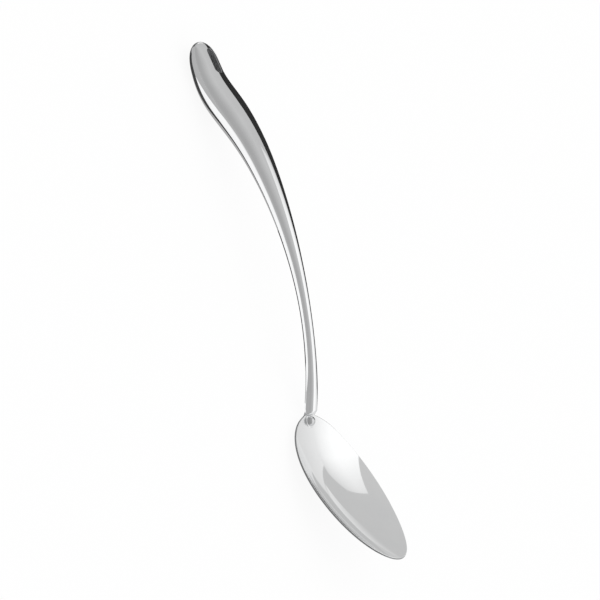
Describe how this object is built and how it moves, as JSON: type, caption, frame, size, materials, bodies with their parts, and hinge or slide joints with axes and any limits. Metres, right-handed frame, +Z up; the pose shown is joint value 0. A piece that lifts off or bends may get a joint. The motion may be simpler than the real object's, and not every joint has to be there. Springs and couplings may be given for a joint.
{
  "type": "cooking spoon",
  "caption": "Polished steel cooking spoon: a shallow egg-shaped bowl riveted to a slim curved stem, and a hollow swelling grip with a slot for hanging it up.",
  "frame": {"origin": "on the table under the middle of the spoon, which lies with the hollow of its bowl up", "axes": "+X along the spoon from grip to bowl tip, +Z up"},
  "size_m": [0.339, 0.0686, 0.0358],
  "materials": {
    "bowl_steel": "polished to a mirror",
    "handle_steel": "polished to a mirror",
    "sleeve_steel": "plain, as drawn",
    "rivet_steel": "polished"
  },
  "bodies": {
    "root": {"bowl": "bowl_steel", "stem": "handle_steel", "grip_top_shell": "handle_steel", "grip_bottom_shell": "handle_steel", "hanging_slot_sleeve": "sleeve_steel", "rivet": "rivet_steel"}
  },
  "joints": []
}
